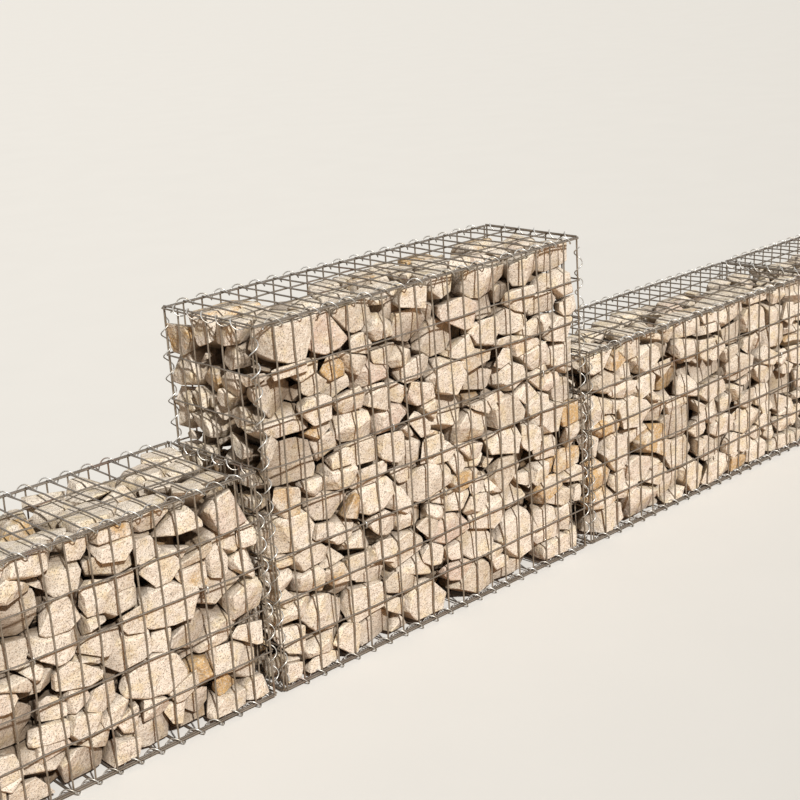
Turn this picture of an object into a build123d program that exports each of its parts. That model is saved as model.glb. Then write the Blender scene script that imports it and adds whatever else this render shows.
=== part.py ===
from build123d import *
import math
import os

# Gabion wall: a row of welded mesh baskets filled with stone, standing end to end on the ground.
# Every basket has six flat mesh panels, laced along all twelve edges with open spiral binders,
# and wire ties that hold its front and back panels together through the fill.
# Millimetres. X runs along the wall, Y from front to back, Z up, and Z = 0 is the ground.

# Basket sizes, between the centres of a panel's border wires
bay_length = 1000.0
bay_depth = 300.0
low_height = 500.0
tall_height = 800.0

# Welded mesh
mesh_wire = 4.0
close_spacing = 50.0
wide_spacing = 100.0

# Spiral binders, bent in straight runs
binder_wire = 3.0
binder_pitch = 50.0
runs_per_turn = 6
end_runs = 2

# Stone fill: how far its top falls short of the lid
front_shortfall = 12.0
back_shortfall = 90.0

# Ties through the fill
tie_wire = 3.5
tie_tail = 16.0

# Where the ties rest, as shares of the basket's height and length
tie_places = {
    low_height: [(0.6, 0.45), (0.6, 0.85)],
    tall_height: [(0.375, 0.25), (0.375, 0.5), (0.625, 0.35), (0.625, 0.85)],
}

# Clearance between pieces that rest against each other
clearance = 0.3

# The baskets from left to right
bay_heights = {"bay_1": low_height, "bay_2": tall_height, "bay_3": low_height, "bay_4": low_height}


# Sizes worked out from the above
# A panel has two layers of wire, welded face to face. Its border wires stand one inset
# inside the basket's edges, and its outer layer one inset outside them, so that panels
# meet along an edge without touching.
inset = mesh_wire + clearance / 2
half_wire = mesh_wire / 2
border_reach = inset + half_wire
end_gap = half_wire + clearance / 2

# The binder clears the far corners of the two border wires that it goes round.
half_step = math.pi / runs_per_turn
flat_share = math.cos(half_step)
corner_share = flat_share / math.cos(math.pi / 4 - half_step)
binder_radius = (border_reach * math.sqrt(2) + clearance + binder_wire / 2) / corner_share
binder_reach = binder_radius + binder_wire / 2 / flat_share
flat_reach = binder_radius * flat_share + binder_wire / 2

edge_length = bay_length + 2 * inset
edge_depth = bay_depth + 2 * inset
bay_gap = 2 * binder_reach + clearance
bay_pitch = edge_length + bay_gap
left_edge = -(len(bay_heights) * bay_pitch - bay_gap) / 2
front_edge = -edge_depth / 2
floor_edge = flat_reach

fill_bevel = math.sqrt(2) * (binder_reach + clearance) - 2 * end_gap


def cell_count(span, spacing):
    """How many mesh cells fill a span."""
    return max(1, round(span / spacing))


def mesh_panel(width, height, width_spacing, height_spacing):
    """A flat panel in XY with its border wires' centres on the rectangle's sides.

    The wires that run along Y are the upper layer, and those along X are the lower layer.
    """
    columns = cell_count(width, width_spacing)
    rows = cell_count(height, height_spacing)
    with BuildPart() as panel:
        with Locations((0, 0, half_wire)):
            with GridLocations(width / columns, 0, columns + 1, 1):
                Box(mesh_wire, height + mesh_wire, mesh_wire)
        with Locations((0, 0, -half_wire)):
            with GridLocations(0, height / rows, 1, rows + 1):
                Box(width + mesh_wire, mesh_wire, mesh_wire)
    return panel.part


def spiral_binder(span, spacing):
    """A binder along Z for an edge whose first and last cross wires are a span apart.

    It is centred on the middle of the span, and stands out along X at each cross wire.
    """
    cells = cell_count(span, spacing)
    turns = cells * max(1, round(span / cells / binder_pitch))
    rise = span / turns / runs_per_turn
    corners = []
    for step in range(end_runs, turns * runs_per_turn - end_runs + 1):
        angle = step * 2 * half_step
        corners.append(
            Vector(binder_radius * math.cos(angle), binder_radius * math.sin(angle), step * rise - span / 2)
        )
    first_run = corners[1] - corners[0]
    with BuildPart() as binder:
        with BuildLine() as path:
            Polyline(*corners)
        with BuildSketch(Plane(origin=corners[0], x_dir=Vector(0, 0, 1).cross(first_run), z_dir=first_run)):
            RegularPolygon(radius=binder_wire / 2, side_count=3)
        sweep(path=path.wires()[0], transition=Transition.RIGHT)
    return binder.part


def save(part, label):
    """Name a finished piece and write it."""
    part.label = label
    export_step(part, f"parts/{label}.step")


def place(piece, label, planes):
    """Write one node that holds a copy of a piece on each of the given planes."""
    with BuildPart() as node:
        with Locations(*[plane.location for plane in planes]):
            add(piece, clean=False)
    save(node.part, label)


def stone_fill(height, label, middle):
    """The body of stones: bevelled clear of the binders, and lower towards the back."""
    length = edge_length - 2 * end_gap
    depth = edge_depth - 2 * end_gap
    front_top = height + 2 * inset - end_gap - front_shortfall
    back_top = height + 2 * inset - end_gap - back_shortfall
    side = Plane(origin=(middle, 0, floor_edge), x_dir=(0, 1, 0), z_dir=(1, 0, 0))
    with BuildPart() as fill:
        with BuildSketch(side):
            with BuildLine():
                Polyline(
                    (-depth / 2, end_gap),
                    (depth / 2, end_gap),
                    (depth / 2, back_top),
                    (-depth / 2, front_top),
                    close=True,
                )
            make_face()
        extrude(amount=length / 2, both=True)
        chamfer(fill.edges(), fill_bevel)
        with BuildSketch(Plane.XZ.offset(-front_edge + inset * 2)):
            with Locations(*[(x, z + tie_wire / 2) for x, z in tie_spots(height, middle)]):
                Rectangle(tie_wire + 2 * clearance, tie_wire + 2 * clearance)
        extrude(amount=-(edge_depth + 4 * inset), mode=Mode.SUBTRACT)
    save(fill.part, label)


def tie_spots(height, middle):
    """Where ties rest: beside the nearest upright wire, on top of the nearest lengthwise wire."""
    columns = cell_count(bay_length, close_spacing)
    rows = cell_count(height, wide_spacing)
    spots = []
    for up, along in tie_places[height]:
        upright = middle - bay_length / 2 + round(columns * along) * bay_length / columns
        level_wire = floor_edge + inset + round(rows * up) * height / rows
        spots.append((upright + half_wire + clearance + tie_wire / 2, level_wire + half_wire + clearance))
    return spots


def ties(height, label, middle):
    """Straight wires from front to back, hooked down outside the lengthwise wires."""
    hook = edge_depth / 2 + border_reach + clearance + tie_wire / 2
    with BuildPart() as node:
        for x, z in tie_spots(height, middle):
            level = z + tie_wire / 2
            with BuildSketch(Plane(origin=(x, 0, level), x_dir=(0, 1, 0), z_dir=(1, 0, 0))):
                with BuildLine():
                    Polyline((-hook, -tie_tail), (-hook, 0), (hook, 0), (hook, -tie_tail))
                trace(line_width=tie_wire)
            extrude(amount=tie_wire / 2, both=True)
    save(node.part, label)


os.makedirs("parts", exist_ok=True)

long_binder = spiral_binder(bay_length, close_spacing)
cross_binder = spiral_binder(bay_depth, close_spacing)
lid_mesh = mesh_panel(bay_length, bay_depth, close_spacing, wide_spacing)

# One set of pieces for each basket height
face_mesh = {}
end_mesh = {}
upright_binder = {}
for height in (low_height, tall_height):
    face_mesh[height] = mesh_panel(bay_length, height, close_spacing, wide_spacing)
    end_mesh[height] = mesh_panel(bay_depth, height, close_spacing, wide_spacing)
    upright_binder[height] = spiral_binder(height, wide_spacing)

# Basket by basket, from left to right
for index, (bay, height) in enumerate(bay_heights.items()):
    left = left_edge + index * bay_pitch
    right = left + edge_length
    middle = (left + right) / 2
    front = front_edge
    back = -front_edge
    bottom = floor_edge
    top = floor_edge + height + 2 * inset
    centre = (bottom + top) / 2
    layer = inset - half_wire

    # Panels: the sides have their level wires outside, and the base and lid their crosswise wires
    place(face_mesh[height], f"{bay}_front_panel", [Plane((middle, front - layer, centre), (1, 0, 0), (0, 1, 0))])
    place(face_mesh[height], f"{bay}_back_panel", [Plane((middle, back + layer, centre), (-1, 0, 0), (0, -1, 0))])
    place(end_mesh[height], f"{bay}_left_panel", [Plane((left - layer, 0, centre), (0, -1, 0), (1, 0, 0))])
    place(end_mesh[height], f"{bay}_right_panel", [Plane((right + layer, 0, centre), (0, 1, 0), (-1, 0, 0))])
    place(lid_mesh, f"{bay}_base_panel", [Plane((middle, 0, bottom - layer), (1, 0, 0), (0, 0, -1))])
    place(lid_mesh, f"{bay}_lid", [Plane((middle, 0, top + layer), (1, 0, 0), (0, 0, 1))])

    # Binders: at the cross wires the lid's lengthwise ones stand up, and the others stand outwards
    corners = []
    for x, outward in ((left, -1), (right, 1)):
        for y in (front, back):
            corners.append(Plane((x, y, centre), (outward, 0, 0), (0, 0, 1)))
    place(upright_binder[height], f"{bay}_corner_binders", corners)
    base_edges = [Plane((middle, y, bottom), (0, y, 0), (1, 0, 0)) for y in (front, back)]
    lid_edges = [Plane((middle, y, top), (0, 0, 1), (1, 0, 0)) for y in (front, back)]
    for z, lengthwise, name in ((bottom, base_edges, "base_binders"), (top, lid_edges, "lid_binders")):
        crosswise = [Plane((x, 0, z), (outward, 0, 0), (0, 1, 0)) for x, outward in ((left, -1), (right, 1))]
        with BuildPart() as binders:
            with Locations(*[plane.location for plane in lengthwise]):
                add(long_binder, clean=False)
            with Locations(*[plane.location for plane in crosswise]):
                add(cross_binder, clean=False)
        save(binders.part, f"{bay}_{name}")

    stone_fill(height, f"{bay}_stone_fill", middle)
    ties(height, f"{bay}_ties", middle)
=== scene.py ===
"""Looks of a gabion wall: welded mesh baskets, spiral binders, ties and granite rubble.

Metres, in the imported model's frame: X along the wall, Y to the back, Z up from the ground.
"""
import math

import bmesh
import bpy
import numpy as np
from bpy.props import FloatProperty, FloatVectorProperty, IntProperty, PointerProperty
from mathutils import Matrix, Vector
from mathutils.geometry import points_in_planes


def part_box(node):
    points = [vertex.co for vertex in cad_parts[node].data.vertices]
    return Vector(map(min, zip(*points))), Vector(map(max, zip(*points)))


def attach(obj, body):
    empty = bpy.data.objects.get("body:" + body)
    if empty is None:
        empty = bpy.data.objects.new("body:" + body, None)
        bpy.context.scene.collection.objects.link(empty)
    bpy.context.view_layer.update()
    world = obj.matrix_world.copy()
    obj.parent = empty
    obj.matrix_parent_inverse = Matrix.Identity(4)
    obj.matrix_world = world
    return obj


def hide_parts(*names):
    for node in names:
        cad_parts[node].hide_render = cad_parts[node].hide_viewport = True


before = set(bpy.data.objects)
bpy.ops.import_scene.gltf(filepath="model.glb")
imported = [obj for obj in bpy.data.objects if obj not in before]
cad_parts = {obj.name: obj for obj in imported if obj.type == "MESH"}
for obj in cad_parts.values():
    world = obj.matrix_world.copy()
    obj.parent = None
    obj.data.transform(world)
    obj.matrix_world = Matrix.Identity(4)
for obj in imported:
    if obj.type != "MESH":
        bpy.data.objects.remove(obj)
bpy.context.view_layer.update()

bl_info = {
    "name": "Gabion wall",
    "version": (1, 0, 0),
    "blender": (4, 5, 0),
    "location": "3D View > Sidebar > Gabion",
    "description": "Welded mesh baskets laced with spiral binders and filled with granite rubble",
    "category": "Object",
}

BAYS = sorted(name[: -len("_stone_fill")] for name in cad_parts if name.endswith("_stone_fill"))
BODY = "root"
END_PANELS = ("left_panel", "right_panel")
LEVEL_PANELS = ("base_panel", "lid")

# The stones push an end panel out by this share of what a front or back one gets
END_PUSH = 0.35

# For each basket: the share of its depth that is full to the lid, how far the heap falls behind that,
# and how much of both is made good towards its left end
HEAPS = ((0.88, 0.05, 0.0), (0.7, 0.085, 0.75), (0.62, 0.085, 0.0), (0.62, 0.085, 0.0))


# Settings that a user would change

class WireSettings(bpy.types.PropertyGroup):
    """Sizes of the welded mesh, the binders and the ties."""

    mesh_wire: FloatProperty(
        name="Mesh wire", description="Diameter of the panels' wire", default=0.004, unit="LENGTH"
    )
    close_spacing: FloatProperty(
        name="Close spacing", description="Distance between the upright wires", default=0.05, unit="LENGTH"
    )
    wide_spacing: FloatProperty(
        name="Wide spacing", description="Distance between the level wires", default=0.1, unit="LENGTH"
    )
    panel_bow: FloatProperty(
        name="Panel bow", description="How far the stones push a panel out", default=0.004, unit="LENGTH"
    )
    wire_waver: FloatProperty(
        name="Wire waver", description="How far a wire strays from its line", default=0.0024, unit="LENGTH"
    )
    binder_wire: FloatProperty(
        name="Binder wire", description="Diameter of the spirals' wire", default=0.003, unit="LENGTH"
    )
    binder_pitch: FloatProperty(
        name="Binder pitch", description="Length of one turn of a spiral", default=0.05, unit="LENGTH"
    )
    binder_radius: FloatProperty(
        name="Binder radius", description="From a spiral's axis to its wire's centre",
        default=0.0098, unit="LENGTH",
    )
    tie_wire: FloatProperty(
        name="Tie wire", description="Diameter of the ties", default=0.0035, unit="LENGTH"
    )
    sides: IntProperty(name="Sides", description="Flats round a wire", default=7, min=3)


class StoneSettings(bpy.types.PropertyGroup):
    """Sizes of the rubble and how it lies."""

    large: FloatProperty(
        name="Large stones", description="Radius of the largest stones", default=0.0535, unit="LENGTH"
    )
    small: FloatProperty(
        name="Small stones", description="Radius of the smallest stones", default=0.017, unit="LENGTH"
    )
    joint: FloatProperty(
        name="Joint", description="Gap between stones where they lie closest", default=0.0018, unit="LENGTH"
    )
    edge_round: FloatProperty(
        name="Edge rounding", description="Width of the worn edges", default=0.0019, unit="LENGTH"
    )
    roughness: FloatProperty(
        name="Surface roughness", description="Height of the broken surface's bumps",
        default=0.0068, unit="LENGTH",
    )
    divided: FloatProperty(
        name="Divided above", description="Stones of a larger radius get finer faces",
        default=0.03, unit="LENGTH",
    )
    seed: IntProperty(name="Seed", description="Changes how the rubble falls", default=23)


class FinishSettings(bpy.types.PropertyGroup):
    """Colours of stone, wire and stage."""

    stone_pale: FloatVectorProperty(
        name="Pale stone", description="Lightest granite", subtype="COLOR", default=(0.925, 0.83, 0.715)
    )
    stone_grey: FloatVectorProperty(
        name="Grey stone", description="Darker granite", subtype="COLOR", default=(0.66, 0.56, 0.43)
    )
    stone_fleck: FloatVectorProperty(
        name="Flecks", description="Dark mica flecks", subtype="COLOR", default=(0.20, 0.155, 0.115)
    )
    stone_ochre: FloatVectorProperty(
        name="Ochre", description="Iron stain", subtype="COLOR", default=(0.62, 0.36, 0.09)
    )
    stone_pink: FloatVectorProperty(
        name="Pink", description="Feldspar stain", subtype="COLOR", default=(0.60, 0.40, 0.32)
    )
    stone_cream: FloatVectorProperty(
        name="Cream", description="Yellowish patches", subtype="COLOR", default=(0.80, 0.65, 0.385)
    )
    # Dust and painted shade: the colour that stones are darkened to deep in the gaps between them
    stone_dust_and_shade: FloatVectorProperty(
        name="Dust", description="Dust deep between the stones",
        subtype="COLOR", default=(0.16, 0.10, 0.054),
    )
    mesh_zinc: FloatVectorProperty(
        name="Mesh zinc", description="Weathered galvanising", subtype="COLOR", default=(0.33, 0.281, 0.224)
    )
    binder_zinc: FloatVectorProperty(
        name="Binder zinc", description="Newer, brighter galvanising",
        subtype="COLOR", default=(0.66, 0.64, 0.60),
    )
    floor: FloatVectorProperty(
        name="Floor", description="Studio floor", subtype="COLOR", default=(0.72, 0.71, 0.69)
    )
    bounce: FloatVectorProperty(
        name="Bounce", description="Light that the floor throws back",
        subtype="COLOR", default=(0.40, 0.20, 0.08),
    )


# Node trees, for shapes and for finishes alike

class Socket:
    """An output socket that takes part in sums. Each operator adds one Math node."""

    def __init__(self, board, socket):
        self.board = board
        self.socket = socket

    def maths(self, operation, *terms):
        return self.board.add("ShaderNodeMath", {"operation": operation}, dict(enumerate(terms)))

    def __add__(self, other):
        return self.maths("ADD", self, other)

    def __radd__(self, other):
        return self.maths("ADD", other, self)

    def __sub__(self, other):
        return self.maths("SUBTRACT", self, other)

    def __rsub__(self, other):
        return self.maths("SUBTRACT", other, self)

    def __mul__(self, other):
        return self.maths("MULTIPLY", self, other)

    def __rmul__(self, other):
        return self.maths("MULTIPLY", other, self)

    def __truediv__(self, other):
        return self.maths("DIVIDE", self, other)

    def __rtruediv__(self, other):
        return self.maths("DIVIDE", other, self)


class Board:
    """A node tree that is put together from Python."""

    def __init__(self, tree):
        self.tree = tree

    def add(self, kind, settings=None, inputs=None, out=0):
        """Adds a node: its settings first, then the values or links of its sockets."""
        node = self.tree.nodes.new(kind)
        for key, value in (settings or {}).items():
            if key == "stops":
                ramp = node.color_ramp.elements
                while len(ramp) < len(value):
                    ramp.new(0.5)
                for element, (position, grey) in zip(ramp, value):
                    element.position = position
                    element.color = (grey, grey, grey, 1)
            else:
                setattr(node, key, value)
        for key, value in (inputs or {}).items():
            for one in value if isinstance(value, list) else [value]:
                if isinstance(one, Socket):
                    self.tree.links.new(one.socket, node.inputs[key])
                else:
                    node.inputs[key].default_value = one
        return Socket(self, node.outputs[out]) if node.outputs else None

    def vector(self, operation, *terms, out=0):
        return self.add("ShaderNodeVectorMath", {"operation": operation}, dict(enumerate(terms)), out)

    def scaled(self, vector, factor):
        return self.add("ShaderNodeVectorMath", {"operation": "SCALE"}, {0: vector, "Scale": factor})

    def noise(self, place, scale, detail, out=0):
        """Noise of this many features a metre, from 0 to 1."""
        return self.add(
            "ShaderNodeTexNoise", None, {"Vector": place, "Scale": scale, "Detail": detail}, out
        )

    def xyz(self, vector):
        return [self.add("ShaderNodeSeparateXYZ", None, {0: vector}, out) for out in range(3)]

    def join_xyz(self, x, y, z):
        return self.add("ShaderNodeCombineXYZ", None, {0: x, 1: y, 2: z})


class Shape(Board):
    """A Geometry Nodes tree with named inputs."""

    KINDS = {
        "length": "NodeSocketFloat",
        "count": "NodeSocketInt",
        "shape": "NodeSocketGeometry",
        "material": "NodeSocketMaterial",
    }

    def __init__(self, name, **inputs):
        super().__init__(bpy.data.node_groups.new(name, "GeometryNodeTree"))
        self.tree.interface.new_socket("Shape", in_out="OUTPUT", socket_type="NodeSocketGeometry")
        for label, kind in inputs.items():
            self.tree.interface.new_socket(label, in_out="INPUT", socket_type=self.KINDS[kind])
        entry = self.tree.nodes.new("NodeGroupInput")
        self.given = {label: Socket(self, entry.outputs[label]) for label in inputs}

    def round_wire(self, curve):
        """Wire along a curve, of the given thickness and number of sides, closed at its ends."""
        section = self.add(
            "GeometryNodeCurvePrimitiveCircle", None,
            {"Resolution": self.given["Sides"], "Radius": self.given["Wire"] * 0.5},
        )
        return self.add(
            "GeometryNodeCurveToMesh", None, {"Curve": curve, "Profile Curve": section, "Fill Caps": True}
        )

    def close(self, geometry):
        """Ends the tree with plain geometry in the given finish."""
        plain = self.add("GeometryNodeRealizeInstances", None, {0: geometry})
        painted = self.add("GeometryNodeSetMaterial", None, {0: plain, "Material": self.given["Finish"]})
        end = self.tree.nodes.new("NodeGroupOutput")
        self.tree.links.new(painted.socket, end.inputs[0])
        return self

    def make(self, values, start=None):
        """Runs the tree and returns what it makes as a plain mesh."""
        carrier = bpy.data.objects.new("carrier", start or bpy.data.meshes.new("carrier"))
        bpy.context.scene.collection.objects.link(carrier)
        modifier = carrier.modifiers.new("shape", "NODES")
        modifier.node_group = self.tree
        for item in self.tree.interface.items_tree:
            if item.in_out == "INPUT" and item.name in values:
                modifier[item.identifier] = values[item.name]
        graph = bpy.context.evaluated_depsgraph_get()
        mesh = bpy.data.meshes.new_from_object(carrier.evaluated_get(graph), depsgraph=graph)
        bpy.data.objects.remove(carrier)
        if not mesh.polygons:
            raise RuntimeError(f"the tree {self.tree.name} made nothing")
        return mesh


def finished(name, meshes, slot, *nodes):
    """Joins meshes into one piece that stands for these CAD nodes."""
    mesh = meshes[0]
    if len(meshes) > 1:
        joined = bmesh.new()
        for part in meshes:
            joined.from_mesh(part)
        mesh = bpy.data.meshes.new(name)
        joined.to_mesh(mesh)
        joined.free()
        mesh.materials.append(meshes[0].materials[0])
    mesh.name = name
    piece = bpy.data.objects.new(name, mesh)
    bpy.context.scene.collection.objects.link(piece)
    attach(piece, BODY)
    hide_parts(*nodes)


def on_plane(origin, x_dir, z_dir):
    """The matrix that lays a flat drawing on a plane."""
    x_dir, z_dir = Vector(x_dir), Vector(z_dir)
    turn = Matrix((x_dir, z_dir.cross(x_dir), z_dir)).transposed()
    return Matrix.Translation(origin) @ turn.to_4x4()


class Basket:
    """Where one basket's edges and wires are, read from its packed panels."""

    def __init__(self, bay):
        wires = bpy.context.scene.gabion_wires
        half = wires.mesh_wire / 2
        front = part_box(f"{bay}_front_panel")
        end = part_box(f"{bay}_left_panel")
        other_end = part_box(f"{bay}_right_panel")
        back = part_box(f"{bay}_back_panel")
        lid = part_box(f"{bay}_lid")
        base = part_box(f"{bay}_base_panel")
        self.length = front[1].x - front[0].x - 2 * half
        self.depth = end[1].y - end[0].y - 2 * half
        self.height = front[1].z - front[0].z - 2 * half
        self.centre = (front[0] + front[1]) / 2
        middle = [(low + high) / 2 for low, high in (front, back, end, other_end, base, lid)]
        self.planes = {
            "front_panel": (middle[0], (1, 0, 0), (0, 1, 0)),
            "back_panel": (middle[1], (-1, 0, 0), (0, -1, 0)),
            "left_panel": (middle[2], (0, -1, 0), (1, 0, 0)),
            "right_panel": (middle[3], (0, 1, 0), (-1, 0, 0)),
            "base_panel": (middle[4], (1, 0, 0), (0, 0, -1)),
            "lid": (middle[5], (1, 0, 0), (0, 0, 1)),
        }
        self.side_edges = (middle[2].x + half, middle[3].x - half)
        self.face_edges = (middle[0].y + half, middle[1].y - half)
        self.bottom_edge = middle[4].z + half
        self.top_edge = middle[5].z - half
        # The room for stones inside the six panels
        self.room = (
            Vector((end[1].x, front[1].y, base[1].z)),
            Vector((other_end[0].x, back[0].y, lid[0].z)),
        )


# Welded mesh

# How high a layer's wires lie over the panel's middle, in half wires: the two layers are fused a little
LAYER_HEIGHT = 0.86

# Straight pieces that a wire has in each cell it passes, along the cell's wide and its close side
WIDE_PIECES, CLOSE_PIECES = 3, 2

# A wire's broad and fine swings: how many to a metre, and how much each counts
SWINGS = ((5.0, 3.2), (17.0, 1.5))

# The waver fades over this distance from a panel's sides, and never below this share
FADE_WIDTH, LEAST_WAVER = 0.07, 0.12

# How much the base's wires waver, as a share of the others, because they lie on the ground
GROUND_WAVER = 0.4

# How near to a panel's side the points of its border wire are
AT_BORDER = 0.002

# How far outwards border wires are drawn: at the ends of base and lid, and above and below on the others
LEVEL_DRAW, UPRIGHT_DRAW = 0.0025, 0.004

# How much the stones push each panel along its own Z, which points into the basket on the four sides
PUSH = {
    "front_panel": -1.0, "back_panel": -1.0, "left_panel": -END_PUSH, "right_panel": -END_PUSH,
    "base_panel": 0.0, "lid": 0.5,
}


def panel_tree():
    """Two layers of straight wires, pushed out and bent a little by the stones."""
    shape = Shape(
        "welded_panel",
        Width="length", Height="length", Columns="count", Rows="count", Wire="length",
        Bow="length", Waver="length", Sides="count", Seed="length", Finish="material",
        Border_X="length", Border_Y="length",
    )
    give = shape.given
    width, height, wire = give["Width"], give["Height"], give["Wire"]
    half = wire * 0.5
    lift = half * LAYER_HEIGHT
    layers = []
    for along, across, cells, pieces, level, along_y in (
        (height, width, give["Columns"], give["Rows"] * WIDE_PIECES, lift, True),
        (width, height, give["Rows"], give["Columns"] * CLOSE_PIECES, lift * -1, False),
    ):
        start, step = across * -0.5, across / cells
        reach = along * 0.5 + half
        if along_y:
            first, offset = shape.join_xyz(start, 0, level), shape.join_xyz(step, 0, 0)
            tail, head = shape.join_xyz(0, reach * -1, 0), shape.join_xyz(0, reach, 0)
        else:
            first, offset = shape.join_xyz(0, start, level), shape.join_xyz(0, step, 0)
            tail, head = shape.join_xyz(reach * -1, 0, 0), shape.join_xyz(reach, 0, 0)
        spots = shape.add(
            "GeometryNodeMeshLine", {"mode": "OFFSET"},
            {"Count": cells + 1, "Start Location": first, "Offset": offset},
        )
        line = shape.add("GeometryNodeCurvePrimitiveLine", None, {"Start": tail, "End": head})
        line = shape.add(
            "GeometryNodeResampleCurve", {"mode": "COUNT"}, {"Curve": line, "Count": pieces + 1}
        )
        placed = shape.add("GeometryNodeInstanceOnPoints", None, {"Points": spots, "Instance": line})
        layers.append(shape.add("GeometryNodeRealizeInstances", None, {0: placed}))
    wires = shape.add("GeometryNodeJoinGeometry", None, {0: layers})

    x, y, _ = shape.xyz(shape.add("GeometryNodeInputPosition"))
    edge_x = width * 0.5 - x.maths("ABSOLUTE", x)
    edge_y = height * 0.5 - y.maths("ABSOLUTE", y)
    fade = edge_x.maths("MINIMUM", edge_x, edge_y) / FADE_WIDTH
    fade = fade.maths("MINIMUM", fade.maths("MAXIMUM", fade, LEAST_WAVER), 1.0)
    flat = shape.join_xyz(x, y, give["Seed"])
    swings = []
    for rate, share in SWINGS:
        swing = shape.vector("SUBTRACT", shape.noise(flat, rate, 0.0, out=1), (0.5, 0.5, 0.5))
        swings.append(shape.scaled(swing, share))
    stray = shape.scaled(shape.vector("ADD", *swings), give["Waver"] * fade)
    across_x, across_y = x / width, y / height
    bulge = (1 - across_x * across_x * 4) * (1 - across_y * across_y * 4) * give["Bow"]
    moved = shape.vector("ADD", stray, shape.join_xyz(0, 0, bulge))
    at_end = edge_x.maths("LESS_THAN", edge_x, AT_BORDER) * x.maths("SIGN", x)
    at_top = edge_y.maths("LESS_THAN", edge_y, AT_BORDER) * y.maths("SIGN", y)
    drawn = shape.join_xyz(at_end * give["Border_X"], at_top * give["Border_Y"], 0)
    moved = shape.vector("ADD", moved, drawn)
    wires = shape.add("GeometryNodeSetPosition", None, {"Geometry": wires, "Offset": moved})
    return shape.close(shape.round_wire(wires))


class GABION_OT_panels(bpy.types.Operator):
    """Make the six welded mesh panels of every basket"""

    bl_idname = "gabion.panels"
    bl_label = "Mesh panels"

    def execute(self, context):
        wires = context.scene.gabion_wires
        tree = panel_tree()
        tint = context.scene.gabion_finishes.mesh_zinc
        # The mesh is painted darker where it faces up: weathering and painted shade
        finish = zinc_finish("mesh_zinc", tint, metal=0.5, rough=0.42, weathering_and_painted_shade=0.75)
        for number, bay in enumerate(BAYS):
            basket = Basket(bay)
            for side, (label, (origin, x_dir, z_dir)) in enumerate(basket.planes.items()):
                is_level = label in LEVEL_PANELS
                width = basket.depth if label in END_PANELS else basket.length
                height = basket.depth if is_level else basket.height
                mesh = tree.make({
                    "Width": width,
                    "Height": height,
                    "Columns": max(1, round(width / wires.close_spacing)),
                    "Rows": max(1, round(height / wires.wide_spacing)),
                    "Wire": wires.mesh_wire,
                    "Bow": wires.panel_bow * PUSH[label],
                    "Border_X": LEVEL_DRAW if is_level else 0.0,
                    "Border_Y": 0.0 if is_level else UPRIGHT_DRAW,
                    "Waver": wires.wire_waver * (GROUND_WAVER if label == "base_panel" else 1.0),
                    "Sides": wires.sides,
                    "Seed": 3.7 * number + 0.61 * side + 1.0,
                    "Finish": finish,
                })
                mesh.transform(on_plane(origin, x_dir, z_dir))
                finished(f"{bay}_{label}_wires", [mesh], "mesh_wire", f"{bay}_{label}")
        return {"FINISHED"}


# Spiral binders

# Straight runs to a turn, flats round the wire, and the share of a turn left off at each end
RUNS_PER_TURN, BINDER_SIDES, SKIP = 14, 6, 1 / 3

# How unevenly a spiral is wound: how much it drifts round its axis, in radians, and how much its radius
# varies, as a share, each with its number of changes to a metre
DRIFT, DRIFT_RATE = 0.9, 9.0
SWELL, SWELL_RATE = 0.06, 23.0


def binder_tree():
    """A spiral along Z, a little uneven as it is wound.

    Where it would start and end if it were not cut short, it stands out along X.
    """
    shape = Shape(
        "spiral_binder",
        Turns="length", Pitch="length", Skip="length", Radius="length", Wire="length",
        Twist="length", Waver="length", Seed="length", Sides="count", Finish="material",
    )
    give = shape.given
    wound = give["Turns"] - give["Skip"] * 2
    spiral = shape.add(
        "GeometryNodeCurveSpiral", None,
        {
            "Resolution": RUNS_PER_TURN, "Rotations": wound, "Start Radius": give["Radius"],
            "End Radius": give["Radius"], "Height": wound * give["Pitch"], "Reverse": True,
        },
    )
    start = shape.join_xyz(0, 0, wound * give["Pitch"] * -0.5)
    spiral = shape.add(
        "GeometryNodeTransform", None,
        {
            "Geometry": spiral, "Translation": start,
            "Rotation": shape.join_xyz(0, 0, give["Skip"] * (2 * math.pi)),
        },
    )
    place = shape.add("GeometryNodeInputPosition")
    along = shape.xyz(place)[2]
    line, other_line = (shape.join_xyz(give["Seed"], beside, along) for beside in (0, 5))
    drift = (shape.noise(line, DRIFT_RATE, 1.0) - 0.5) * give["Twist"]
    swell = (shape.noise(other_line, SWELL_RATE, 1.0) - 0.5) * give["Waver"]
    turned = shape.add(
        "ShaderNodeVectorRotate", {"rotation_type": "Z_AXIS"}, {"Vector": place, "Angle": drift}
    )
    x, y, z = shape.xyz(turned)
    grown = shape.join_xyz(x * (1 + swell), y * (1 + swell), z)
    spiral = shape.add("GeometryNodeSetPosition", None, {"Geometry": spiral, "Position": grown})
    return shape.close(shape.round_wire(spiral))


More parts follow.
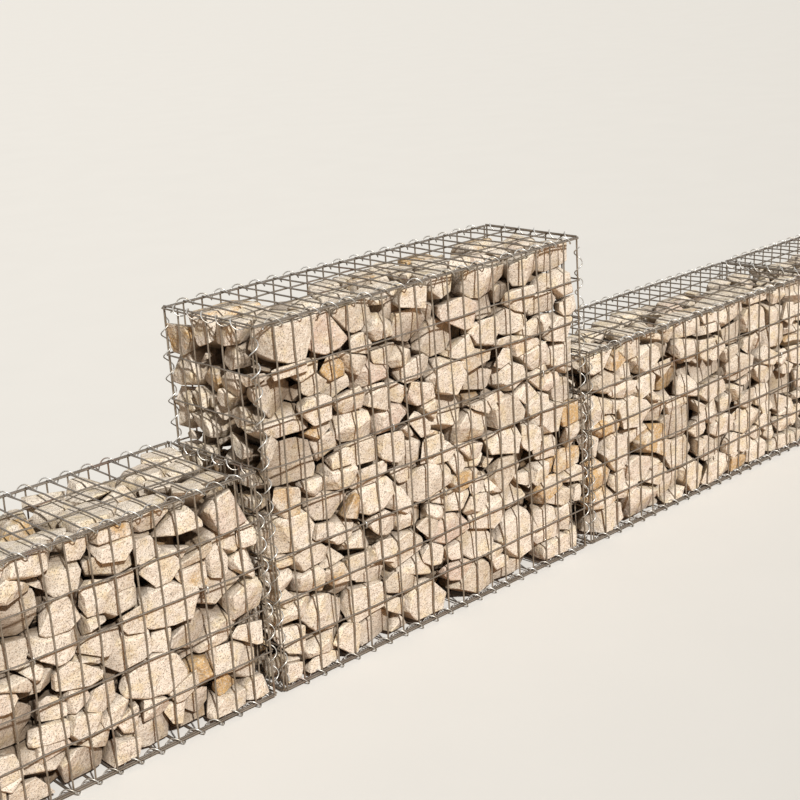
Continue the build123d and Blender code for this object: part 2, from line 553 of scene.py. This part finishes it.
class GABION_OT_binders(bpy.types.Operator):
    """Make the spiral binders along all twelve edges of every basket"""

    bl_idname = "gabion.binders"
    bl_label = "Spiral binders"

    def execute(self, context):
        wires = context.scene.gabion_wires
        tree = binder_tree()
        tint = context.scene.gabion_finishes.binder_zinc
        finish = zinc_finish("binder_zinc", tint, metal=0.85, rough=0.28, weathering_and_painted_shade=0.2)
        count = 0
        for bay in BAYS:
            basket = Basket(bay)
            middle = basket.centre
            # The base binders rest on the ground
            low_radius = basket.bottom_edge - wires.binder_wire / 2
            corner, lid, base = [], [], []
            for x, outward in zip(basket.side_edges, (-1, 1)):
                for y in basket.face_edges:
                    corner.append((basket.height, (x, y, middle.z), (outward, 0, 0), (0, 0, 1)))
                for edges, z in ((lid, basket.top_edge), (base, basket.bottom_edge)):
                    edges.append((basket.depth, (x, 0, z), (outward, 0, 0), (0, 1, 0)))
            for y, outward in zip(basket.face_edges, (-1, 1)):
                lid.append((basket.length, (middle.x, y, basket.top_edge), (0, 0, 1), (1, 0, 0)))
                base.append((basket.length, (middle.x, y, basket.bottom_edge), (0, outward, 0), (1, 0, 0)))
            for name, edges in (("corner_binders", corner), ("lid_binders", lid), ("base_binders", base)):
                on_ground = edges is base
                meshes = []
                for span, origin, x_dir, z_dir in edges:
                    count += 1
                    turns = round(span / wires.binder_pitch)
                    mesh = tree.make({
                        "Turns": float(turns),
                        "Pitch": span / turns,
                        "Skip": SKIP,
                        "Radius": low_radius if on_ground else wires.binder_radius,
                        "Wire": wires.binder_wire,
                        "Twist": DRIFT,
                        "Waver": 0.0 if on_ground else SWELL,
                        "Seed": 1.3 * count,
                        "Sides": BINDER_SIDES,
                        "Finish": finish,
                    })
                    mesh.transform(on_plane(origin, x_dir, z_dir))
                    meshes.append(mesh)
                finished(f"{bay}_{name}_spirals", meshes, "binder_wire", f"{bay}_{name}")
        return {"FINISHED"}


# Ties

# Flats round the wire, the radius of its bends and the pieces in each bend
TIE_SIDES, TIE_BEND, BEND_PIECES = 8, 0.004, 4

# How far a hook's tip turns back under the mesh wire, and how far it drops
TIP_REACH, TIP_DROP = 0.009, 0.002

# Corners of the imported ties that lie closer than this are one
SAME_CORNER = 1e-5


def tie_tree():
    """Round wire along a bent line, with its bends rounded."""
    shape = Shape("tie_wire", Path="shape", Wire="length", Bend="length", Sides="count", Finish="material")
    give = shape.given
    path = shape.add("GeometryNodeMeshToCurve", None, {0: give["Path"]})
    path = shape.add(
        "GeometryNodeFilletCurve", {"mode": "POLY"},
        {"Curve": path, "Count": BEND_PIECES, "Radius": give["Bend"]},
    )
    return shape.close(shape.round_wire(path))


def tie_rods(bay):
    """The lowest and highest corner of each packed tie's box."""
    solid = bmesh.new()
    solid.from_mesh(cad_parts[f"{bay}_ties"].data)
    bmesh.ops.remove_doubles(solid, verts=solid.verts, dist=SAME_CORNER)
    rods, left = [], set(solid.verts)
    while left:
        group, edge = set(), [left.pop()]
        while edge:
            corner = edge.pop()
            group.add(corner)
            for link in corner.link_edges:
                other = link.other_vert(corner)
                if other not in group:
                    left.discard(other)
                    edge.append(other)
        spots = np.array([v.co for v in group])
        rods.append((spots.min(0), spots.max(0)))
    solid.free()
    return sorted(rods, key=lambda rod: (round(rod[0][2], 3), rod[0][0]))


class GABION_OT_ties(bpy.types.Operator):
    """Make the hooked ties between the front and back panels"""

    bl_idname = "gabion.ties"
    bl_label = "Wire ties"

    def execute(self, context):
        wires = context.scene.gabion_wires
        tree = tie_tree()
        finish = bpy.data.materials["binder_zinc"]
        for bay in BAYS:
            path = bmesh.new()
            for low, high in tie_rods(bay):
                x = (low[0] + high[0]) / 2
                level = high[2] - wires.tie_wire / 2
                reach = high[1] - wires.tie_wire / 2
                drop = low[2] + wires.tie_wire / 2
                line = [
                    (x, reach - TIP_REACH, drop - TIP_DROP), (x, reach, drop), (x, reach, level),
                    (x, -reach, level), (x, -reach, drop), (x, -reach + TIP_REACH, drop - TIP_DROP),
                ]
                corners = [path.verts.new(spot) for spot in line]
                for first, second in zip(corners, corners[1:]):
                    path.edges.new((first, second))
            start = bpy.data.meshes.new("tie_path")
            path.to_mesh(start)
            path.free()
            mesh = tree.make(
                {"Wire": wires.tie_wire, "Bend": TIE_BEND, "Sides": TIE_SIDES, "Finish": finish}, start
            )
            finished(f"{bay}_ties_hooked", [mesh], "binder_wire", f"{bay}_ties")
        return {"FINISHED"}


# Rubble

# Stones lie flat and lengthwise: how much a distance along each axis counts when they are fitted
LIE = np.array((0.76, 0.95, 1.22))

# How many stones are thrown of each size, from large to small, and for how many square metres of front
THROWS = (500, 1100, 1800, 2400, 2400, 2400, 2400, 2600)
THROWN_OVER = 0.5

# How near a thrown stone may come to the mesh and to another stone, as a share of their radii
MESH_ROOM, STONE_ROOM = 0.58, 0.9

# The left end of a heap is held up over this share of its length. There it is full over this share of
# its depth, and falls by this much less behind that.
HELD_LENGTH, HELD_FULL, HELD_FALL = 0.22, 0.92, 0.55

# How far the heap stands over the room for stones, how its fall is curved, and the share of its swell
# that lowers it everywhere
HEAP_RISE, FALL_CURVE, SWELL_LOSS = 0.004, 0.8, 0.3

# The swells along a heap's top: the height of each in metres, and how fast it goes up and down
SWELLS = ((0.012, 7.0), (0.009, 17.0))

# Of the stones at the mesh, the share that turn a broad face to it, and that share with those that turn
# a ridge to it. Both are this much less where stones lie loose.
BROAD, BROAD_OR_RIDGE, LESS_IF_LOOSE = 0.48, 0.74, 0.2

# How far outside the room such faces may be set, to be cut flat by its sides
OUTSET = 0.001

# A stone is near a side or the top if it lies within this many of its radii
NEAR = 1.8

# How many neighbours a stone is fitted against, and how much its face to each tilts at most
NEIGHBOURS, JOINT_TILT = 33, 0.3

# How much further a stone keeps from its neighbours on average, in joints of the set width:
# in a corner, at an end, on top and elsewhere
CORNER_JOINT, END_JOINT, TOP_JOINT, OTHER_JOINT = 1.4, 4.0, 2.4, 1.2

# How much stones are stretched along an axis of their own, and the share of that which they lose in
# every direction, so that they are no larger on average
STRETCH, EVENED = (-0.3, 0.45), 0.66

# How much the top face of a stone on the heap tilts at most, and how far it lies over the stone's middle
# at least, in radii
TOP_TILT, LEAST_RISE = 0.35, 0.35

# How many cuts knock corners off a stone where two sides of the basket meet, and elsewhere, up to but
# not including the second number
CORNER_CUTS, OTHER_CUTS = (0, 4), (2, 7)

# How much a cut tilts, and the share of a corner's distance that it leaves
CUT_TILT, CUT_LEAVES = 0.5, (0.58, 0.93)

# Two corners of a stone closer than this are one, and a stone of a smaller volume than this is left out
LEAST_EDGE, LEAST_STONE = 0.004, 2e-6

# Faces that meet flatter than this are one, and edges sharper than this stay crisp
FLAT, CRISP = math.radians(6), math.radians(20)

# How near to each other the corners of worn edges may lie
WORN_EDGE = 0.0004

# The stones stay this much inside the room, at its low and high corners
LOW_MARGIN, HIGH_MARGIN = (0.0005, 0.0, 0.001), (0.0005, 0.0, 0.002)

# A basket's stones are split into pieces of about this height
STOREY = 0.45

# The least that a stone's middle lies under the heap's top, in radii
LEAST_COVER = 0.1

# How far a hidden stone lies from the mesh and under the heap's top, in radii with metres added
HIDDEN_IN, HIDDEN_UNDER = (1.3, 0.03), (2.0, 0.04)

# Mean and spread of a stone's lightness and of its stains, which are then kept between 0 and 1
TONE, OCHRE, PINK = (0.73, 0.27), (-0.45, 0.5), (-0.5, 0.45)

# Coarse and fine bumps to a metre on a broken surface
COARSE_BUMPS, FINE_BUMPS = 26.0, 95.0


def scatter(low, high, stones, rng):
    """Middles and radii of stones, the large ones thrown first and small ones into the gaps."""
    spots, radii = [], []
    span = high - low
    sizes = np.linspace(stones.large, stones.small, len(THROWS))
    kept = np.zeros((0, 3))
    kept_radii = np.zeros(0)
    for radius, count in zip(sizes, THROWS):
        for _ in range(int(count * span[0] * span[2] / THROWN_OVER)):
            spot = low + span * rng.random(3)
            reach = radius * rng.uniform(0.88, 1.12)
            if (np.minimum(spot - low, high - spot) * LIE).min() < reach * MESH_ROOM:
                continue
            apart = np.linalg.norm((kept - spot) * LIE, axis=1)
            if (apart < (kept_radii + reach) * STONE_ROOM).any():
                continue
            spots.append(spot)
            radii.append(reach)
            kept = np.array(spots)
            kept_radii = np.array(radii)
    return kept, kept_radii


def heap_level(spot, low, high, slopes, waves):
    """The height of the heap's top over a place: full along the front, then falling to the back."""
    full, fall, left = slopes
    back = (spot[1] - low[1]) / (high[1] - low[1])
    along = (spot[0] - low[0]) / (high[0] - low[0])
    held = left * max(0.0, 1 - along / HELD_LENGTH)
    full, fall = full + (HELD_FULL - full) * held, fall * (1 - held * HELD_FALL)
    swell = sum(depth * math.sin(along * rate + phase) for depth, rate, phase in waves)
    slope = max(0.0, back - full) / (1 - full)
    return high[2] + HEAP_RISE - (fall + swell) * slope**FALL_CURVE - abs(swell) * SWELL_LOSS


def random_unit(rng):
    """A direction at random, of length 1."""
    return Vector(rng.normal(size=3)).normalized()


def tilted(direction, amount, rng):
    """The direction, turned any way by up to about this many radians."""
    return (direction + random_unit(rng) * amount).normalized()


def outer_faces(direction, reach, radius, loose, rng):
    """Planes for what a stone turns to the mesh: one broad face, a ridge of three, or two set back.

    The looser the stones lie, from 0 to 1, the fewer turn a broad face to the mesh. At -1 all do.
    """
    kind = rng.random() * (BROAD if loose < 0 else 1.0)
    loose = max(0.0, loose)
    if kind < BROAD - LESS_IF_LOOSE * loose:
        inset = rng.uniform(-OUTSET, 0.004)
        tilts = [rng.uniform(0.02, 0.14 + 0.2 * loose)]
    elif kind < BROAD_OR_RIDGE - LESS_IF_LOOSE * loose:
        inset = rng.uniform(-OUTSET, 0.003)
        tilts = [rng.uniform(0.2, 0.5 + 0.4 * loose) for _ in range(3)]
    else:
        inset = rng.uniform(0.006, 0.5 * radius + 0.006)
        tilts = [rng.uniform(0.1, 0.4 + 0.4 * loose) for _ in range(2)]
    planes = []
    for tilt in tilts:
        face = tilted(direction, tilt, rng)
        planes.append(Vector((*face, -(reach * face.dot(direction) - inset))))
    return planes


def stone_corners(index, rubble_bed, low, high, level, stones, rng):
    """The corners of one stone: the room between its neighbours, with corners knocked off."""
    spots, radii, axes, stretch = rubble_bed
    middle = spots[index]
    away = (spots - middle) * LIE
    apart = np.linalg.norm(away, axis=1)
    near = radii[index] * NEAR
    at_end, at_face = (min(middle[axis] - low[axis], high[axis] - middle[axis]) < near for axis in range(2))
    in_corner = at_end and at_face
    on_top = level - middle[2] < near
    widened = CORNER_JOINT if in_corner else END_JOINT if at_end else TOP_JOINT if on_top else OTHER_JOINT
    slack = stones.joint * widened
    planes = []
    for other in np.argsort(apart)[1 : NEIGHBOURS + 1]:
        direction = away[other] / apart[other]
        own, its = (
            radii[one] * (1 + stretch[one] * (2 * axes[one].dot(direction) ** 2 - EVENED))
            for one in (index, other)
        )
        reach = (apart[other] ** 2 + own**2 - its**2) / (2 * apart[other])
        direction = Vector(direction * LIE)
        reach /= direction.length
        direction.normalize()
        face = tilted(direction, rng.uniform(0.0, JOINT_TILT), rng)
        reach = reach * face.dot(direction) - stones.joint / 2 - rng.exponential(slack)
        planes.append(Vector((*face, -reach)))
    for axis in range(3):
        for sign, bound in ((-1, low[axis]), (1, high[axis])):
            direction = Vector((0, 0, 0))
            direction[axis] = sign
            reach = abs(bound - middle[axis])
            planes.append(Vector((*direction, -reach)))
            if reach < near:
                tight = (axis == 2 and sign < 0) or (in_corner and high[1] - middle[1] < near)
                loose = -1.0 if tight else 1.0 if axis == 0 else 0.0
                planes += outer_faces(direction, reach, radii[index], loose, rng)
    if on_top:
        top = tilted(Vector((0, 0, 1)), rng.uniform(0.0, TOP_TILT), rng)
        reach = level - middle[2] + rng.uniform(-0.006, 0.008)
        planes.append(Vector((*top, -max(reach, radii[index] * LEAST_RISE))))
    corners, _ = points_in_planes(planes)
    if len(corners) < 5:
        return []
    cuts = []
    for _ in range(rng.integers(*(CORNER_CUTS if in_corner else OTHER_CUTS))):
        far = max(corners, key=lambda spot: spot.length * rng.uniform(0.65, 1.0))
        face = tilted(far.normalized(), CUT_TILT, rng)
        reach = max(spot.dot(face) for spot in corners)
        cuts.append(Vector((*face, -reach * rng.uniform(*CUT_LEAVES))))
    corners, _ = points_in_planes(planes + cuts)
    return [spot + Vector(middle) for spot in corners]


def add_stone(heap, corners, rounding, marks, layers):
    """Adds one stone to the heap, with worn edges where rounding is given, if it is of a fair size."""
    stone = bmesh.new()
    for spot in corners:
        stone.verts.new(spot)
    bmesh.ops.remove_doubles(stone, verts=stone.verts, dist=LEAST_EDGE)
    if len(stone.verts) < 5:
        stone.free()
        return
    hull = bmesh.ops.convex_hull(stone, input=stone.verts)
    inside = [g for g in hull["geom_interior"] if isinstance(g, bmesh.types.BMVert)]
    bmesh.ops.delete(stone, geom=inside, context="VERTS")
    if len(stone.faces) < 6 or stone.calc_volume() < LEAST_STONE:
        stone.free()
        return
    bmesh.ops.dissolve_limit(
        stone, angle_limit=FLAT, verts=stone.verts, edges=stone.edges, use_dissolve_boundaries=False
    )
    if rounding:
        bmesh.ops.bevel(
            stone, geom=stone.edges[:], offset=rounding, offset_type="OFFSET", segments=1, profile=0.5,
            affect="EDGES", clamp_overlap=True,
        )
        bmesh.ops.remove_doubles(stone, verts=stone.verts, dist=WORN_EDGE)
    bmesh.ops.recalc_face_normals(stone, faces=stone.faces)
    copies = {}
    for corner in stone.verts:
        copy = heap.verts.new(corner.co)
        for layer, value in zip(layers, marks):
            copy[layer] = value
        copies[corner] = copy
    for face in stone.faces:
        heap.faces.new([copies[corner] for corner in face.verts])
    stone.free()


def rubble_tree():
    """Divides the faces of the stones that show, and roughens all of them."""
    shape = Shape("rubble", Stones="shape", Coarse="length", Fine="length", Finish="material")
    give = shape.given
    whole = shape.add("GeometryNodeInputNamedAttribute", {"data_type": "FLOAT"}, {"Name": "undivided"})
    parts = shape.add(
        "GeometryNodeSeparateGeometry", {"domain": "POINT"},
        {"Geometry": give["Stones"], "Selection": whole},
    )
    shown = Socket(shape, parts.socket.node.outputs[1])
    shown = shape.add("GeometryNodeSubdivideMesh", None, {"Mesh": shown, "Level": 1})
    stones = shape.add("GeometryNodeJoinGeometry", None, {0: [parts, shown]})
    shift = shape.add(
        "GeometryNodeInputNamedAttribute", {"data_type": "FLOAT_VECTOR"}, {"Name": "stone_shift"}
    )
    place = shape.vector("ADD", shape.add("GeometryNodeInputPosition"), shift)
    coarse = (shape.noise(place, COARSE_BUMPS, 1.0) - 0.5) * give["Coarse"]
    fine = (shape.noise(place, FINE_BUMPS, 0.0) - 0.5) * give["Fine"]
    moved = shape.scaled(shape.add("GeometryNodeInputNormal"), coarse + fine)
    stones = shape.add("GeometryNodeSetPosition", None, {"Geometry": stones, "Offset": moved})
    stones = shape.add("GeometryNodeSetShadeSmooth", None, {"Geometry": stones, "Shade Smooth": True})
    angle = shape.add("GeometryNodeInputMeshEdgeAngle")
    crisp = shape.add("FunctionNodeCompare", {"operation": "GREATER_THAN"}, {"A": angle, "B": CRISP})
    stones = shape.add(
        "GeometryNodeSetShadeSmooth", {"domain": "EDGE"},
        {"Geometry": stones, "Selection": crisp, "Shade Smooth": False},
    )
    return shape.close(stones)


def rubble(basket, number, stones, tree, finish):
    """One basket's stones, fitted against each other inside the mesh, in pieces of a fair size."""
    rng = np.random.default_rng(stones.seed + 17 * number)
    low = np.array(basket.room[0]) + np.array(LOW_MARGIN)
    high = np.array(basket.room[1]) - np.array(HIGH_MARGIN)
    spots, radii = scatter(low, high, stones, rng)
    axes = rng.normal(size=spots.shape)
    axes /= np.linalg.norm(axes, axis=1)[:, None]
    rubble_bed = (spots, radii, axes, rng.uniform(*STRETCH, len(spots)))
    waves = [(depth, rate, rng.uniform(0, 6)) for depth, rate in SWELLS]
    slopes = HEAPS[number % len(HEAPS)]
    bow = bpy.context.scene.gabion_wires.panel_bow
    storeys = max(1, round(basket.height / STOREY))
    heaps = []
    for _ in range(storeys):
        heap = bmesh.new()
        layers = (
            heap.verts.layers.float_vector.new("stone_shift"),
            heap.verts.layers.float_color.new("stone_tint"),
            heap.verts.layers.float.new("undivided"),
        )
        depth_layer = heap.verts.layers.float.new("stone_depth")
        heaps.append((heap, layers, depth_layer))
    for index, spot in enumerate(spots):
        level = heap_level(spot, low, high, slopes, waves)
        tint = [float(np.clip(rng.normal(mean, spread), 0, 1)) for mean, spread in (TONE, OCHRE, PINK)]
        shift = Vector(rng.uniform(-5, 5, 3))
        if level - spot[2] < radii[index] * LEAST_COVER:
            continue
        to_side = min(spot[0] - low[0], high[0] - spot[0], spot[1] - low[1], high[1] - spot[1])
        hidden = (
            to_side > radii[index] * HIDDEN_IN[0] + HIDDEN_IN[1]
            and level - spot[2] > radii[index] * HIDDEN_UNDER[0] + HIDDEN_UNDER[1]
        )
        corners = stone_corners(index, rubble_bed, low, high, level, stones, rng)
        if len(corners) < 5:
            continue
        undivided = float(hidden or radii[index] < stones.divided)
        heap, layers, _ = heaps[min(storeys - 1, int((spot[2] - low[2]) / (high[2] - low[2]) * storeys))]
        rounding = 0.0 if hidden else stones.edge_round * rng.uniform(0.5, 1.4)
        add_stone(heap, corners, rounding, (shift, (*tint, 1.0), undivided), layers)
    meshes = []
    for heap, _, depth_layer in heaps:
        for corner in heap.verts:
            x, y, z = corner.co
            # How deep a corner lies inside the heap; the granite darkens deep corners as dust and painted
            # shade
            depth = min(x - low[0], high[0] - x, y - low[1], high[1] - y, high[2] - z)
            corner[depth_layer] = max(0.0, depth)
            across, deep, up = (2 * (part - a) / (b - a) - 1 for part, a, b in zip((x, y, z), low, high))
            corner.co.y += bow * (1 - across * across) * (1 - up * up) * deep
            corner.co.x += bow * END_PUSH * (1 - deep * deep) * (1 - up * up) * across
        start = bpy.data.meshes.new("rubble")
        heap.to_mesh(start)
        heap.free()
        bumps = {"Coarse": stones.roughness, "Fine": stones.roughness * 0.5}
        meshes.append(tree.make({**bumps, "Finish": finish}, start))
    return meshes


class GABION_OT_stones(bpy.types.Operator):
    """Fill every basket with granite rubble"""

    bl_idname = "gabion.stones"
    bl_label = "Rubble"

    def execute(self, context):
        stones = context.scene.gabion_stones
        tree = rubble_tree()
        finish = granite_finish(context.scene.gabion_finishes)
        for number, bay in enumerate(BAYS):
            meshes = rubble(Basket(bay), number, stones, tree, finish)
            for mesh, part in zip(meshes, ("", "_upper")):
                finished(f"{bay}_stones{part}", [mesh], "stone", f"{bay}_stone_fill")
        return {"FINISHED"}


# Finishes

class Paint(Board):
    """A material's node tree, on the pieces' own coordinates."""

    def __init__(self, name):
        material = bpy.data.materials.new(name)
        material.use_nodes = True
        super().__init__(material.node_tree)
        self.tree.nodes.clear()
        self.material = material
        self.place = self.add("ShaderNodeTexCoord", out=3)

    def blend(self, first, second, share):
        """Two colours mixed: a share of 0 is the first."""
        return self.add("ShaderNodeMix", {"data_type": "RGBA"}, {0: share, 6: first, 7: second}, out=2)

    def ramp(self, value, *stops):
        return self.add("ShaderNodeValToRGB", {"stops": stops}, {0: value})

    def surface(self, **sockets):
        named = {key.replace("_", " "): value for key, value in sockets.items()}
        shader = self.add("ShaderNodeBsdfPrincipled", None, named)
        self.add("ShaderNodeOutputMaterial", None, {"Surface": shader})
        return self.material


def colour(value):
    """A colour with its alpha."""
    return (*value, 1.0)


# Colours of rust on the wire and of quartz grains in the granite
RUST = (0.25, 0.135, 0.085)
QUARTZ = (0.9, 0.85, 0.77)


def zinc_finish(name, tint, metal, rough, weathering_and_painted_shade):
    """Galvanised wire: grey zinc with dull brown patches and brighter rubbed spots.

    Where it faces up it is painted darker, by the share given: partly weathering and partly a painted
    reflection of the dim sky.
    """
    paint = Paint(name)
    patches = paint.noise(paint.place, 38.0, 3.0)
    grain = paint.noise(paint.place, 420.0, 2.0)
    dull = tuple(part * share for part, share in zip(tint, (0.62, 0.57, 0.5)))
    bright = tuple(min(1.0, part * 1.45) for part in tint)
    base = paint.blend(colour(dull), colour(tint), paint.ramp(patches, (0.36, 0), (0.6, 1)))
    base = paint.blend(base, colour(bright), paint.ramp(grain, (0.55, 0), (0.75, 1)))
    rust = paint.ramp(paint.noise(paint.place, 9.0, 4.0), (0.62, 0), (0.72, 1))
    base = paint.blend(base, colour(RUST), rust * 0.7)
    # Painted shade: the wire's colour darkens to a bluish grey where it faces up, partly weathering and
    # partly a painted reflection of the dim sky
    normal = paint.add("ShaderNodeNewGeometry", out=1)
    upward = paint.add("ShaderNodeSeparateXYZ", None, {0: normal}, out=2)
    weathered_shaded_top = tuple(part * share for part, share in zip(tint, (0.36, 0.38, 0.46)))
    base = paint.blend(base, colour(weathered_shaded_top), paint.ramp(upward, (0.15, 0), (0.85, 1)) * weathering_and_painted_shade)
    roughness = rough + 0.2 * (1 - patches) + 0.1 * (grain - 0.5)
    bump = paint.add(
        "ShaderNodeBump", None, {"Strength": 0.25, "Distance": 0.0004, "Height": grain}
    )
    return paint.surface(Base_Color=base, Metallic=metal, Roughness=roughness, Normal=bump)


def granite_finish(finishes):
    """Pale granite: feldspar and quartz grains, mica flecks, and ochre or pink stains on some stones."""
    paint = Paint("granite")
    shift = paint.add("ShaderNodeAttribute", {"attribute_name": "stone_shift"}, out=1)
    tint = paint.add("ShaderNodeAttribute", {"attribute_name": "stone_tint"})
    tone, ochre, pink = (paint.add("ShaderNodeSeparateColor", None, {0: tint}, out) for out in range(3))
    place = paint.vector("ADD", paint.place, shift)
    clouds = paint.noise(place, 16.0, 4.0)
    patches = paint.noise(place, 31.0, 3.0)
    grains = paint.noise(place, 190.0, 3.0)
    mottle = paint.noise(place, 64.0, 2.0)
    flecks = paint.noise(place, 380.0, 1.0)
    crystals = paint.add(
        "ShaderNodeTexVoronoi", {"feature": "F1"}, {"Vector": place, "Scale": 300.0}, out=1
    )
    speck = paint.add("ShaderNodeSeparateColor", None, {0: crystals})
    share = paint.ramp(tone * 0.6 + clouds * 0.6 + mottle * 0.3 - 0.18, (0.28, 0), (0.68, 1))
    base = paint.blend(colour(finishes.stone_grey), colour(finishes.stone_pale), share)
    cream = paint.ramp(patches + (tone - 0.6) * 0.1, (0.5, 0), (0.68, 1))
    base = paint.blend(base, colour(finishes.stone_cream), cream * 0.6)
    stain = paint.noise(place, 24.0, 3.0)
    ochre_spots = paint.ramp(stain + ochre * 0.35 - 0.1, (0.5, 0), (0.66, 1))
    ochre_spots = ochre_spots * ochre.maths("MINIMUM", ochre * 2.5, 1)
    base = paint.blend(base, colour(finishes.stone_ochre), ochre_spots * 0.8)
    pink_spots = paint.ramp(clouds + pink * 0.4 - 0.1, (0.45, 0), (0.7, 1))
    pink_spots = pink_spots * pink.maths("MINIMUM", pink * 2, 1)
    base = paint.blend(base, colour(finishes.stone_pink), pink_spots * 0.55)
    base = paint.blend(base, colour(QUARTZ), paint.ramp(speck, (0.66, 0), (0.9, 1)) * 0.5)
    base = paint.blend(base, colour(finishes.stone_grey), paint.ramp(grains, (0.48, 0), (0.62, 1)) * 0.32)
    base = paint.blend(base, colour(finishes.stone_fleck), paint.ramp(flecks, (0.55, 0), (0.65, 1)) * 0.68)
    # Dust and painted shade: the deeper a stone's surface lies inside the heap, the more it is darkened
    # towards the dust colour
    depth = paint.add("ShaderNodeAttribute", {"attribute_name": "stone_depth"}, out=2)
    dust_and_shade = paint.ramp(depth * 21 + (clouds - 0.5) * 0.5, (0.2, 0), (1.0, 1))
    base = paint.blend(base, colour(finishes.stone_dust_and_shade), dust_and_shade * 0.85)
    bump = paint.add(
        "ShaderNodeBump", None,
        {"Strength": 1.0, "Distance": 0.006, "Height": grains * 0.25 + paint.noise(place, 60.0, 6.0)},
    )
    return paint.surface(Base_Color=base, Roughness=0.82 + 0.12 * (grains - 0.5), Normal=bump)


# Stage

# Half the floor's width
FLOOR_EDGE = 60.0

# The way that the sunlight goes, and how strong it is
SUN_WAY, SUN_STRENGTH = (0.264, 0.743, -0.616), 3.66

# The camera's place, the ways that the picture's right and up sides point, and the focal length
# in millimetres
EYE = (-2.7944, -2.5174, 1.5678)
PICTURE_RIGHT = (0.72329, -0.68778, -0.06172)
PICTURE_UP = (0.24863, 0.17599, 0.95247)
FOCAL_LENGTH = 68.04


def seen_rays(board):
    """1 for rays that come from the camera, a reflection or through glass, else 0."""
    camera = board.add("ShaderNodeLightPath")
    rays = camera.socket.node.outputs
    total = camera + Socket(board, rays["Is Glossy Ray"]) + Socket(board, rays["Is Transmission Ray"])
    return total.maths("MINIMUM", total, 1.0)


class GABION_OT_stage(bpy.types.Operator):
    """Lay the pale floor, hang the lights and set up the camera"""

    bl_idname = "gabion.stage"
    bl_label = "Stage"

    def execute(self, context):
        scene = context.scene
        mesh = bpy.data.meshes.new("floor")
        corners = [(FLOOR_EDGE * x, FLOOR_EDGE * y, 0) for x, y in ((-1, -1), (1, -1), (1, 1), (-1, 1))]
        mesh.from_pydata(corners, [], [(0, 1, 2, 3)])
        floor = bpy.data.objects.new("floor", mesh)
        scene.collection.objects.link(floor)
        paint = Paint("floor")
        cloud = paint.noise(paint.place, 3.0, 3.0)
        shade = colour(scene.gabion_finishes.floor)
        darker = colour([part * 0.965 for part in scene.gabion_finishes.floor])
        pale = paint.add(
            "ShaderNodeBsdfDiffuse", None, {"Color": paint.blend(darker, shade, cloud), "Roughness": 0.5}
        )
        dim = paint.add("ShaderNodeBsdfDiffuse", None, {"Color": colour(scene.gabion_finishes.bounce)})
        floor_look = paint.add("ShaderNodeMixShader", None, {0: seen_rays(paint), 1: dim, 2: pale})
        paint.add("ShaderNodeOutputMaterial", None, {"Surface": floor_look})
        mesh.materials.append(paint.material)

        world = bpy.data.worlds.new("studio")
        world.use_nodes = True
        scene.world = world
        sky = Board(world.node_tree)
        sky.tree.nodes.clear()
        soft = sky.add("ShaderNodeBackground", None, {"Color": (1.0, 0.925, 0.825, 1), "Strength": 0.19})
        white = sky.add("ShaderNodeBackground", None, {"Color": (1, 1, 1, 1), "Strength": 1.0})
        mixed = sky.add("ShaderNodeMixShader", None, {0: seen_rays(sky), 1: soft, 2: white})
        sky.add("ShaderNodeOutputWorld", None, {"Surface": mixed})

        sun = bpy.data.lights.new("key", "SUN")
        sun.energy = SUN_STRENGTH
        sun.angle = math.radians(3)
        sun.color = (1.0, 0.975, 0.93)
        key = bpy.data.objects.new("key", sun)
        key.rotation_mode = "QUATERNION"
        key.rotation_quaternion = Vector(SUN_WAY).to_track_quat("-Z", "Y")
        scene.collection.objects.link(key)

        lens = bpy.data.cameras.new("photo_side")
        lens.sensor_fit = "HORIZONTAL"
        lens.sensor_width = 36.0
        lens.lens = FOCAL_LENGTH
        lens.clip_start, lens.clip_end = 0.05, 200.0
        camera = bpy.data.objects.new("photo_side", lens)
        right, up = Vector(PICTURE_RIGHT), Vector(PICTURE_UP)
        turn = Matrix((right, up, right.cross(up))).transposed()
        camera.matrix_world = Matrix.Translation(EYE) @ turn.to_4x4()
        scene.collection.objects.link(camera)
        scene.camera = camera
        scene.view_settings.view_transform = "Standard"
        return {"FINISHED"}


class GABION_PT_wall(bpy.types.Panel):
    """Lists the steps that dress the wall"""

    bl_label = "Gabion wall"
    bl_space_type = "VIEW_3D"
    bl_region_type = "UI"
    bl_category = "Gabion"

    def draw(self, context):
        for step in STEPS:
            self.layout.operator(step.bl_idname)
        for name in GROUPS:
            group = getattr(context.scene, name)
            box = self.layout.box()
            for setting in group.__annotations__:
                box.prop(group, setting)


STEPS = (GABION_OT_panels, GABION_OT_binders, GABION_OT_ties, GABION_OT_stones, GABION_OT_stage)
GROUPS = {"gabion_wires": WireSettings, "gabion_stones": StoneSettings, "gabion_finishes": FinishSettings}


def register():
    for kind in (*GROUPS.values(), *STEPS, GABION_PT_wall):
        bpy.utils.register_class(kind)
    for name, kind in GROUPS.items():
        setattr(bpy.types.Scene, name, PointerProperty(type=kind))


def unregister():
    for name in GROUPS:
        delattr(bpy.types.Scene, name)
    for kind in (GABION_PT_wall, *reversed(STEPS), *reversed(GROUPS.values())):
        bpy.utils.unregister_class(kind)


def main():
    register()
    bpy.ops.gabion.panels()
    bpy.ops.gabion.binders()
    bpy.ops.gabion.ties()
    bpy.ops.gabion.stones()
    bpy.ops.gabion.stage()


if __name__ == "__main__":
    main()
